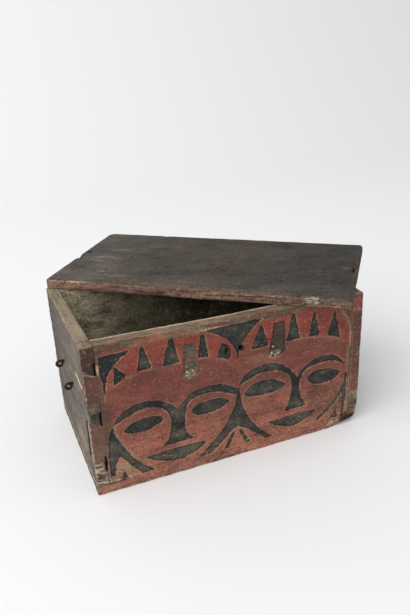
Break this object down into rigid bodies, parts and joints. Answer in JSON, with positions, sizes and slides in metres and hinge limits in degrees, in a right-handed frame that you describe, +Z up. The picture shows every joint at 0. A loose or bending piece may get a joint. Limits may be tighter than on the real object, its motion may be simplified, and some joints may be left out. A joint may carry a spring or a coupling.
{
  "type": "ditty box",
  "caption": "Plank box for papers and keepsakes: box-jointed corners, carved and painted front, iron becket eyes and a loose plank lid.",
  "frame": {"origin": "centre of the underside of the bottom board", "axes": "+X along the carved front to the right, +Y to the back, +Z up; the lid lies turned on the rim"},
  "size_m": [0.5074, 0.4578, 0.226],
  "materials": {
    "painted_wood": "worn brick-red and black paint on softwood, with bare pale arrises",
    "grey_wood": "weathered bare softwood",
    "dark_wood": "dark stained plank, its front edge worn to reddish brown",
    "iron": "dark rusted wrought iron",
    "stub_metal": "dull broken wire ends"
  },
  "bodies": {
    "box": {"front_board": "painted_wood", "bottom_board": "painted_wood", "back_board": "grey_wood", "left_board": "grey_wood", "right_board": "grey_wood", "left_front_eye": "iron", "left_rear_eye": "iron", "right_front_eye": "iron", "right_rear_eye": "iron", "corner_nails": "iron", "bottom_nails": "iron", "front_nail": "iron", "staple_stubs": "stub_metal"},
    "lid": {"lid_board": "dark_wood"}
  },
  "joints": [
    {"name": "lid_lift", "type": "slide", "parent": "box", "child": "lid", "axis": [0, 0, 1], "range_m": [0, 0.12]}
  ]
}
